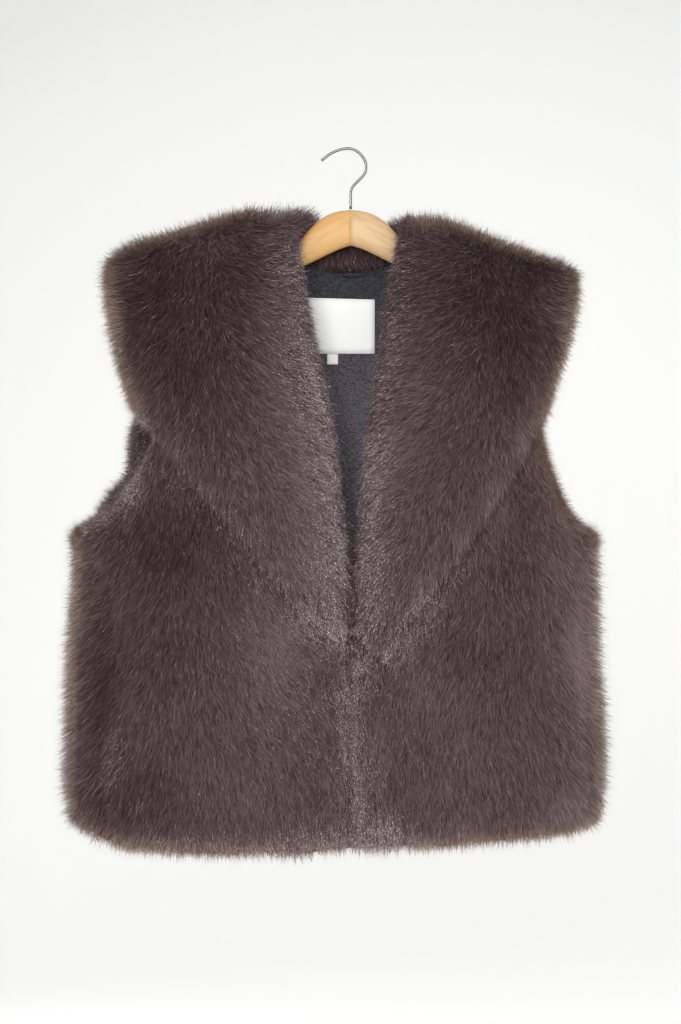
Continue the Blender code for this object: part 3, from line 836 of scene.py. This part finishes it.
def grow(form, weights, count, settings, rng, inside):
    """Hairs whose tips lie on a form, and whose roots lie in its undercoat."""
    triangles = form.triangles
    chosen = rng.choice(len(triangles), count, p=weights / weights.sum())
    first, second = rng.random((2, count))
    folded = first + second > 1
    first, second = np.where(folded, 1 - first, first), np.where(folded, 1 - second, second)
    shares = np.stack([1 - first - second, first, second], axis=1)[:, :, None]
    corners = triangles[chosen]
    place = (form.points[corners] * shares).sum(axis=1)
    normal = unit((form.normals[corners] * shares).sum(axis=1))

    lock = coherent(place, LOCK_SIZE, rng)
    lock_turn = coherent(place, LOCK_TURN_SIZE, rng)
    turn = LOCK_TURN * lock_turn + rng.normal(0, HAIR_TURN, count)
    flow = pile_flow(form.node, place, normal, turn)
    edge = (form.edge[corners] * shares[:, :, 0]).sum(axis=1)
    rim = smooth_step((RIM_REACH - edge) / RIM_FADE)
    stray = rng.random(count) < settings.stray_share * (1 + rim)
    lean = settings.lean + rng.normal(0, LEAN_SPREAD, count)
    lean = lean - np.where(stray, STRAY_RISE, 0.0) - RIM_RISE * rim
    way = unit(normal * np.cos(lean)[:, None] + flow * np.sin(lean)[:, None])
    length = settings.hair_length * rng.uniform(*LENGTH_RANGE, count)
    stand = settings.tip_spread * rng.triangular(*HEIGHT_RANGE, count) + LOCK_HEIGHT * lock
    stand = np.where(stray, rng.uniform(0, 1, count) ** 1.3 * settings.stray_height, stand)
    stand = stand - crease_depth(place, normal)
    overhang = settings.overhang * rng.uniform(*OVERHANG_RANGE, count)
    tip = place + normal * stand[:, None] + flow * overhang[:, None] + tufts_at(place)
    tip[:, 2] += HEM_LIFT * smooth_step((HEM_LIFTED - place[:, 2]) / HEM_FADE)
    root = tip - way * length[:, None]
    upright = place - normal * settings.undercoat_depth
    for index in range(count):
        if not inside(root[index]):
            root[index] = upright[index]

    # The spots' change of tone is mostly painted light and shade
    light_and_tone, silver = light_and_tone_at(place, normal)
    chance = rng.random(count)
    # Hairs with a painted highlight: many in the glint strips, in patches, and a few anywhere
    patches = 1 + 0.5 * coherent(place, HIGHLIGHT_PATCH_SIZE, rng)
    bright = chance < HIGHLIGHT_GAIN * silver * patches
    glints = bright | (rng.random(count) < STRAY_GLINTS)
    # Painted rim light: hairs near the outline get the paler rim colours, fewer where the cloth turns
    # sideways
    least = 0.15
    facing = smooth_step((np.abs(normal[:, 1]) - 0.05) / 0.45)
    turned_side = least + (1 - least) * facing
    tan = rng.random(count) < settings.rim_lit_share * rim * turned_side * (1 - silver)
    spin = rng.normal(0, settings.twist, count)
    along = unit(tip - root)
    across = unit(np.cross(along, normal))
    beyond = np.cross(across, along)
    side = across * np.cos(spin)[:, None] + beyond * np.sin(spin)[:, None]
    width = settings.hair_width * rng.uniform(*WIDTH_RANGE, count)
    width = width * np.where(stray, STRAY_WIDTH, 1.0) * np.where(glints, GLINT_WIDTH, 1.0)
    off = (width * rng.choice([-1.0, 1.0], count))[:, None]
    middle = (1 - WIDEST_AT) * root + WIDEST_AT * tip + side * off
    turned = np.einsum("ij,ij->i", np.cross(middle - root, tip - root), normal) < 0
    root, tip = np.where(turned[:, None], tip, root), np.where(turned[:, None], root, tip)

    # The tone takes the spots' painted light and shade, and is raised near the outline as painted rim
    # light
    tone = MIDDLE_TONE + 0.02 * coherent(place, TONE_SIZE, rng) + 0.01 * lock + light_and_tone
    spread = TONE_SPREAD + HIGHLIGHT_SPREAD * silver
    tone += RIM_TONE * rim + np.where(stray, STRAY_TONE, 0.0) + rng.normal(0, spread, count)
    tone = np.clip(tone, *PLAIN_TONES)
    tone = np.where(tan, rng.uniform(*RIM_LIT_TONES, count), tone)
    low, high = GLINT_TONES
    half = (low + high) / 2
    tone = np.where(glints, rng.uniform(low, half, count), tone)
    tone = np.where(bright, rng.uniform(half, high, count), tone)
    return Hairs(root, middle, tip, tone, turned)


def hair_mesh(name, hairs):
    """A joined mesh of hairs, one slim triangle each, with their tone and the share along them."""
    count = len(hairs.tone)
    points = np.stack([hairs.root, hairs.middle, hairs.tip], axis=1).reshape(-1, 3)
    mesh = bpy.data.meshes.new(name)
    mesh.vertices.add(3 * count)
    mesh.loops.add(3 * count)
    mesh.polygons.add(count)
    mesh.vertices.foreach_set("co", points.astype(np.float32).ravel())
    mesh.loops.foreach_set("vertex_index", np.arange(3 * count, dtype=np.int32))
    mesh.polygons.foreach_set("loop_start", np.arange(0, 3 * count, 3, dtype=np.int32))
    mesh.update(calc_edges=True)
    start = np.where(hairs.flipped, 1.0, 0.0)
    along = np.stack([start, np.full(count, WIDEST_AT), 1 - start], axis=1)
    tone = np.repeat(hairs.tone[:, None], 3, axis=1)
    for attribute, values in (("tone", tone), ("along", along)):
        layer = mesh.attributes.new(attribute, "FLOAT", "POINT")
        layer.data.foreach_set("value", values.astype(np.float32).ravel())
    # On the map a hair lies at its tone, runs up by the share along it and is a little wide
    map_width = 0.003
    across = tone + np.array([-map_width / 2, map_width, -map_width / 2])
    places = np.stack([np.clip(across, 0, 1), along], axis=-1)
    uv = mesh.uv_layers.new(name="OFBake")
    uv.data.foreach_set("uv", places.astype(np.float32).ravel())
    return mesh


def hair_material(colours):
    made = Material("pile")
    tone = made.attribute("tone")
    along = made.attribute("along")
    brown = made.ramp(
        tone,
        (0.0, colours.root),
        (0.25, colours.dark),
        (0.48, colours.middle),
        (0.66, colours.light),
        (PLAIN_TONES[1], colours.pale),
        # Painted rim light
        (RIM_LIT_TONES[0], colours.rim_lit_dark),
        (RIM_LIT_TONES[1], colours.tan),
        (GLEAM_FROM, colours.light),
    )
    shaded = made.ramp(along, (0.0, (0.30, 0.28, 0.28)), (0.75, (1, 1, 1)))
    brown = made.mix(1.0, brown, shaded, "MULTIPLY")
    # A painted highlight: a short near-white gleam along the marked hairs, mixed into the base colour
    middle = (tone - GLINT_TONES[0]) * GLEAM_SHIFT + GLEAM_START
    near = (1.5 - (along - middle).size() * GLEAM_SHARPNESS).clamped()
    gleam = near * ((tone - GLEAM_FROM) * 14).clamped()
    colour = made.mix(gleam, brown, colours.silver)
    return made.set(Base_Color=colour, Roughness=0.55 - gleam * 0.25, Specular_IOR_Level=0.25)


def undercoat_material(colours):
    made = Material("undercoat")
    place = made.place(scale=(1, 1, 0.25))
    fibres = made.noise(place, 900, detail=2)
    patches = made.noise(made.place(), 25, detail=3)
    colour = made.ramp(fibres * 0.7 + patches * 0.3, (0.35, colours.root), (0.7, colours.dark))
    return made.set(Base_Color=colour, Roughness=0.85, Normal=made.bump(fibres, 1.0 * MM))


def woven(made, pitch):
    """Where the threads of plain-woven cloth lie on top, as 0 to 1."""
    x, _, z = made.axes(made.place())
    wander = made.noise(made.place(), 60, detail=2) * (0.6 * pitch)
    warp = ((x + wander) * (math.pi / pitch)).sine()
    weft = ((z + wander) * (math.pi / pitch)).sine()
    return (warp * weft) * 0.5 + 0.5


def lining_material(settings):
    """Heathered cloth, with painted shade that makes it darker towards the neck, under the hanger."""
    made = Material("lining cloth")
    over = woven(made, settings.thread_pitch)
    slubs = made.noise(made.place(scale=(1, 1, 1.6)), 330, detail=2, roughness=0.7)
    tone = ((slubs - 0.5) * 2.2 + 0.36 + over * 0.28).clamped()
    _, _, z = made.axes(made.place())
    # Painted shade: the cloth darkens towards the neck, where the hanger shades it, and is lighter
    # lower down
    shade_from, shade_depth = 0.14, 0.12
    height = ((z * -1 - shade_from) / shade_depth).clamped()
    colour = tuple(settings.lining)
    dark = tuple(part * 0.30 for part in colour)
    light = tuple(part * 1.55 for part in colour)
    cloth = made.mix(tone, dark, light)
    shaded = made.ramp(height, (0.0, (0.62, 0.66, 0.70)), (1.0, (1.7, 1.66, 1.68)))
    return made.set(
        Base_Color=made.mix(1.0, cloth, shaded, "MULTIPLY"),
        Roughness=0.85,
        Specular_IOR_Level=0.2,
        Normal=made.bump(over, 0.25 * MM),
    )


def sheet_shell(mesh, form, envelope, depth, undercoat, lining):
    """Draws the form's fur side in to the undercoat, and gives its lined side the lining."""
    room = thickness_at(form.points, form.normals, envelope.tree)
    inset = np.minimum(depth, 0.42 * room) * form.share
    inset += 0.5 * crease_depth(form.points, form.normals) * form.share
    lip = smooth_step(-form.normals[:, 2] / 0.5) * (1 - form.share) * depth
    moved = form.points - form.normals * inset[:, None]
    moved[:, 2] += lip
    put_points(mesh, moved)
    mesh.materials.append(undercoat)
    mesh.materials.append(lining)
    for face in mesh.polygons:
        share = form.share[list(face.vertices)].mean()
        face.material_index = 0 if share > 0.5 else 1


# Each panel's flat cut in metres, and how many meshes its hairs are shared between
Cut = namedtuple("Cut", "wide long area hair_meshes")
CUTS = {
    "back": Cut(0.62, 0.62, 0.345, 2),
    "front_right": Cut(0.32, 0.56, 0.138, 1),
    "front_left": Cut(0.30, 0.56, 0.130, 1),
    "collar_right": Cut(0.26, 0.74, 0.128, 1),
    "collar_left": Cut(0.26, 0.70, 0.121, 1),
}


def build_fur(nodes, count):
    """Builds the shells and the hair of some fur pieces."""
    scene = bpy.context.scene
    settings = scene.gilet_fur
    undercoat = shared_material("undercoat", lambda: undercoat_material(scene.gilet_fur_colours))
    lining = shared_material("lining cloth", lambda: lining_material(scene.gilet_cloth))
    pile = shared_material("pile", lambda: hair_material(scene.gilet_fur_colours))
    envelope = Envelope(COLLAR_NODES if nodes[0] in COLLAR_NODES else BODY_NODES)
    for node in nodes:
        cut = CUTS[node]
        rng = np.random.default_rng(settings.seed + FUR_NODES.index(node))
        mesh, form = fur_form(node, envelope)
        others = [tree_of_node(other) for other in FUR_NODES if other != node]
        corners = form.points[form.triangles]
        crosses = np.cross(corners[:, 1] - corners[:, 0], corners[:, 2] - corners[:, 0])
        areas = np.linalg.norm(crosses, axis=1)
        furred = form.share[form.triangles].mean(axis=1) > 0.5
        seen = open_share(form, others)
        near = smooth_step(1 - armhole_distance(corners.mean(axis=1)) / ARMHOLE_GROWTH)
        weights = areas * furred * np.clip(seen * 1.25 + 0.6 * near, 0.02, 1) * (1 + 2.5 * near)

        def inside(point):
            place, normal = envelope.tree.find_nearest(Vector(point))[:2]
            return (Vector(point) - place).dot(normal) < -1.0 * MM

        hairs = grow(form, weights, count, settings, rng, inside)
        shares = np.array_split(np.argsort(hairs.middle[:, 0]), cut.hair_meshes)
        for part, members in enumerate(shares, 1):
            name = f"{node}_hair_{part}"
            own = Hairs(*(values[members] for values in hairs))
            made = new_object(name, hair_mesh(name, own), pile)
            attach(made, "root")
        sheet_shell(mesh, form, envelope, settings.undercoat_depth, undercoat, lining)
        shell = dressed(f"{node}_cloth", mesh, node, "fur")


def shared_material(name, make):
    """The material of that name, made the first time that it is asked for."""
    return bpy.data.materials.get(name) or make()


class GILET_OT_back(bpy.types.Operator):
    """Builds the back panel and its pile"""

    bl_idname = "gilet.back"
    bl_label = "Back"

    def execute(self, context):
        build_fur(["back"], context.scene.gilet_fur.back_hairs)
        return {"FINISHED"}


class GILET_OT_fronts(bpy.types.Operator):
    """Builds the two front panels and their pile"""

    bl_idname = "gilet.fronts"
    bl_label = "Fronts"

    def execute(self, context):
        build_fur(["front_right", "front_left"], context.scene.gilet_fur.front_hairs)
        return {"FINISHED"}


class GILET_OT_collar(bpy.types.Operator):
    """Builds the two halves of the shawl collar and their pile"""

    bl_idname = "gilet.collar"
    bl_label = "Collar"

    def execute(self, context):
        build_fur(["collar_right", "collar_left"], context.scene.gilet_fur.collar_hairs)
        return {"FINISHED"}


# The height of the lining's straight top edge behind the hanger
LINING_TOP = -121 * MM


class GILET_OT_lining(bpy.types.Operator):
    """Builds the lining inside the back"""

    bl_idname = "gilet.lining"
    bl_label = "Lining"

    def execute(self, context):
        mesh = rounded(merged("lining_back"), 1, math.radians(60))
        points = points_of(mesh)
        column, depth = 7 * MM, 30 * MM
        near = np.abs(points[:, None, 0] - points[None, :, 0]) < column
        top = np.where(near, points[None, :, 2], -1.0).max(axis=1)
        lifted = (LINING_TOP - top) * (np.abs(points[:, 0]) < NECK_REACH)
        points[:, 2] += lifted * smooth_step(1 - (top - points[:, 2]) / depth)
        put_points(mesh, points)
        lining = shared_material("lining cloth", lambda: lining_material(context.scene.gilet_cloth))
        made = dressed("back_lining", mesh, "lining_back", "lining", lining)
        return {"FINISHED"}


def label_material(settings):
    """Smooth pale cloth, closely woven from fine threads."""
    made = Material("woven label")
    thread_pitch = 0.5 * MM
    over = woven(made, thread_pitch)
    slubs = made.noise(made.place(scale=(1, 1, 4)), 220, detail=3)
    colour = tuple(settings.label)
    dark = tuple(part * 0.97 for part in colour)
    light = tuple(min(1.0, part * 1.02) for part in colour)
    return made.set(
        Base_Color=made.mix((over * 0.45 + slubs * 0.55).clamped(), dark, light),
        Roughness=0.6,
        Specular_IOR_Level=0.2,
        Normal=made.bump(over, 0.05 * MM),
    )


class GILET_OT_labels(bpy.types.Operator):
    """Builds the bare label and the size tab on the lining"""

    bl_idname = "gilet.labels"
    bl_label = "Labels"

    def execute(self, context):
        cloth = label_material(context.scene.gilet_cloth)
        for node, name in (("main_label", "label"), ("size_tab", "tab")):
            mesh = rounded(merged(node), 1, math.radians(50))
            if name == "label":
                # The label's top edge is pulled up a little, and most at the right
                points = points_of(mesh)
                up = (points[:, 2] - points[:, 2].min()) / np.ptp(points[:, 2])
                right = (points[:, 0].max() - points[:, 0]) / np.ptp(points[:, 0])
                points[:, 2] += up * (2.4 + 2.0 * right) * MM
                put_points(mesh, points)
            made = dressed(name, mesh, node, "label", cloth)
        return {"FINISHED"}


def wood_material(name, colour, turn, seed):
    """Varnished beech, with its grain along the arm and a pale painted highlight at the joint."""
    made = Material(name)
    turned = made.place(rotation=(0, turn, 0), location=(seed, seed, 0))
    drawn_out = made.stretched(turned, (0.22, 1, 1))
    rings = made.noise(drawn_out, 75, detail=4, roughness=0.6, distortion=1.2)
    streaks = made.noise(made.stretched(turned, (0.1, 1, 1)), 420, detail=3)
    flecks = made.noise(made.stretched(turned, (0.12, 1, 1)), 900, detail=2)
    tone = (rings * 0.55 + streaks * 0.3 + flecks * 0.15).clamped()
    dark = tuple(part * shade for part, shade in zip(colour, (0.88, 0.80, 0.71)))
    light = tuple(min(1.0, part * lift) for part, lift in zip(colour, (1.04, 1.06, 1.11)))
    grain = made.ramp(tone, (0.38, dark), (0.52, tuple(colour)), (0.64, light))
    x, _, _ = made.axes(made.place())
    # A painted highlight: a pale line where the joint's edges catch the light
    joint = (1.4 - (x - JOINT_X * MM).size() / MM).clamped() * 0.7
    joint_highlight = tuple(min(1.0, part * lift) for part, lift in zip(colour, (1.12, 1.25, 1.55)))
    return made.set(
        Base_Color=made.mix(joint, grain, joint_highlight),
        Roughness=0.42 + flecks * 0.12,
        Coat_Weight=0.08,
        Coat_Roughness=0.3,
        Specular_IOR_Level=0.3,
        Normal=made.bump(flecks, 0.04 * MM),
    )


class GILET_OT_hanger(bpy.types.Operator):
    """Builds the two wooden arms of the hanger"""

    bl_idname = "gilet.hanger"
    bl_label = "Hanger"

    def execute(self, context):
        settings = context.scene.gilet_hanger
        arms = (
            ("hanger_arm_right", "wood_honey", settings.honey, math.radians(26), 0.3),
            ("hanger_arm_left", "wood_pale", settings.pale, math.radians(-30), 1.7),
        )
        for node, slot, colour, turn, seed in arms:
            mesh = rounded(merged(node), 2, math.radians(60))
            points = points_of(mesh)
            at_joint = np.abs(points[:, 0] - JOINT_X * MM) < 1.2 * MM
            points[:, 0] = np.where(at_joint, JOINT_X * MM, points[:, 0])
            put_points(mesh, points)
            dressed(node + "_wood", mesh, node, slot, wood_material(slot, colour, turn, seed))
        return {"FINISHED"}


def steel_material():
    made = Material("steel wire")
    scratches = made.noise(made.place(scale=(1, 1, 0.2)), 1500, detail=2)
    colour = made.ramp(scratches, (0.3, (0.10, 0.10, 0.105)), (0.7, (0.20, 0.20, 0.205)))
    return made.set(
        Base_Color=colour,
        Roughness=0.22 + scratches * 0.15,
        Metallic=1.0,
        Normal=made.bump(scratches, 0.02 * MM),
    )


class GILET_OT_hook(bpy.types.Operator):
    """Builds the hook's bent wire"""

    bl_idname = "gilet.hook"
    bl_label = "Hook"

    def execute(self, context):
        mesh = rounded(merged("hanger_hook"), 2, math.radians(60))
        dressed("hook_wire", mesh, "hanger_hook", "wire", steel_material())
        return {"FINISHED"}


def area_light(name, place, aim, wide, power):
    lamp = bpy.data.lights.new(name, "AREA")
    lamp.shape = "SQUARE"
    lamp.size = wide
    lamp.energy = power
    made = bpy.data.objects.new(name, lamp)
    made.location = place
    made.rotation_euler = (Vector(aim) - Vector(place)).to_track_quat("-Z", "Y").to_euler()
    bpy.context.scene.collection.objects.link(made)


class GILET_OT_stage(bpy.types.Operator):
    """Builds the floor and its pale sweep, the lights and the camera"""

    bl_idname = "gilet.stage"
    bl_label = "Stage"

    def execute(self, context):
        scene = context.scene
        settings = scene.gilet_stage
        bm = bmesh.new()
        radius = settings.sweep_radius
        bend = 0.35 * radius
        pole = 0.001
        bend_steps = 12
        profile = [(pole, 0.0), (radius - bend, 0.0)]
        for step in range(1, bend_steps + 1):
            turn = math.pi / 2 * step / bend_steps
            profile.append((radius - bend + bend * math.sin(turn), bend * (1 - math.cos(turn))))
        profile.append((radius, radius))
        verts = [bm.verts.new((x, 0, z - settings.floor_drop)) for x, z in profile]
        edges = [bm.edges.new(pair) for pair in zip(verts, verts[1:])]
        bmesh.ops.spin(
            bm, geom=verts + edges, cent=(0, 0, 0), axis=(0, 0, 1), angle=2 * math.pi, steps=96,
            use_merge=True,
        )
        bmesh.ops.remove_doubles(bm, verts=bm.verts, dist=2 * pole)
        mesh = bpy.data.meshes.new("sweep")
        bm.to_mesh(mesh)
        bm.free()
        mesh.shade_smooth()
        # Painted light: the paper is brightest round a pool of light and darker away from it, and it
        # glows a little in its own colour
        paper = Material("backdrop paper")
        x, _, z = paper.axes(paper.place())
        off = ((x - settings.pool[0]) ** 2 + (z - settings.pool[1]) ** 2) ** 0.5
        pale = tuple(settings.backdrop)
        stops = [
            (away / radius, tuple(part * shade for part in pale))
            for away, shade in ((1.2, 1.0), (1.7, 0.955), (2.35, 0.88), (2.7, 0.80))
        ]
        colour = paper.ramp(off / radius, *stops)
        paper.set(Base_Color=colour, Roughness=0.9, Emission_Color=colour, Emission_Strength=0.22)
        sweep = new_object("sweep", mesh, paper.material)

        world = bpy.data.worlds.new("soft sky")
        world.use_nodes = True
        background = world.node_tree.nodes["Background"]
        sky_colour, sky_strength = (1.0, 1.0, 0.99, 1), 0.75
        background.inputs["Color"].default_value = sky_colour
        background.inputs["Strength"].default_value = sky_strength
        scene.world = world
        aim = Vector(settings.aim)
        area_light("key", (-0.35, -3.0, 0.25), aim, 1.1, 70)
        area_light("fill", (1.6, -2.8, 0.2), aim, 1.6, 12)
        area_light("back", (-1.7, 2.6, 0.6), aim, 1.2, 45)

        camera = bpy.data.cameras.new("camera")
        camera.lens = settings.lens
        camera.sensor_width = 36.0
        camera.dof.use_dof = False
        holder = bpy.data.objects.new("camera", camera)
        distance = settings.view_height * settings.lens / camera.sensor_width
        holder.location = aim - Vector((0, distance, 0))
        holder.rotation_euler = (math.pi / 2, 0, 0)
        scene.collection.objects.link(holder)
        scene.camera = holder
        scene.view_settings.view_transform = "Standard"
        return {"FINISHED"}


class GILET_PT_panel(bpy.types.Panel):
    """Lists the gilet's pieces and its stage"""

    bl_idname = "GILET_PT_panel"
    bl_label = "Gilet"
    bl_space_type = "VIEW_3D"
    bl_region_type = "UI"
    bl_category = "Gilet"

    def draw(self, context):
        for group in GROUPS:
            settings = getattr(context.scene, group)
            box = self.layout.box()
            for name in settings.bl_rna.properties.keys():
                if name not in ("rna_type", "name"):
                    box.prop(settings, name)
        for operator in OPERATORS:
            self.layout.operator(operator.bl_idname)


GROUPS = {
    "gilet_fur": FurSettings,
    "gilet_fur_colours": FurColours,
    "gilet_cloth": ClothSettings,
    "gilet_hanger": HangerSettings,
    "gilet_stage": StageSettings,
}
OPERATORS = (
    GILET_OT_stage,
    GILET_OT_hanger,
    GILET_OT_hook,
    GILET_OT_back,
    GILET_OT_lining,
    GILET_OT_labels,
    GILET_OT_fronts,
    GILET_OT_collar,
)


def register():
    for made in (*GROUPS.values(), *OPERATORS, GILET_PT_panel):
        bpy.utils.register_class(made)
    for name, group in GROUPS.items():
        setattr(bpy.types.Scene, name, PointerProperty(type=group))


def unregister():
    for name in GROUPS:
        delattr(bpy.types.Scene, name)
    for made in (GILET_PT_panel, *reversed(OPERATORS), *reversed(GROUPS.values())):
        bpy.utils.unregister_class(made)


def main():
    register()
    bpy.ops.gilet.stage()
    bpy.ops.gilet.hanger()
    bpy.ops.gilet.hook()
    bpy.ops.gilet.back()
    bpy.ops.gilet.lining()
    bpy.ops.gilet.labels()
    bpy.ops.gilet.fronts()
    bpy.ops.gilet.collar()


if __name__ == "__main__":
    main()
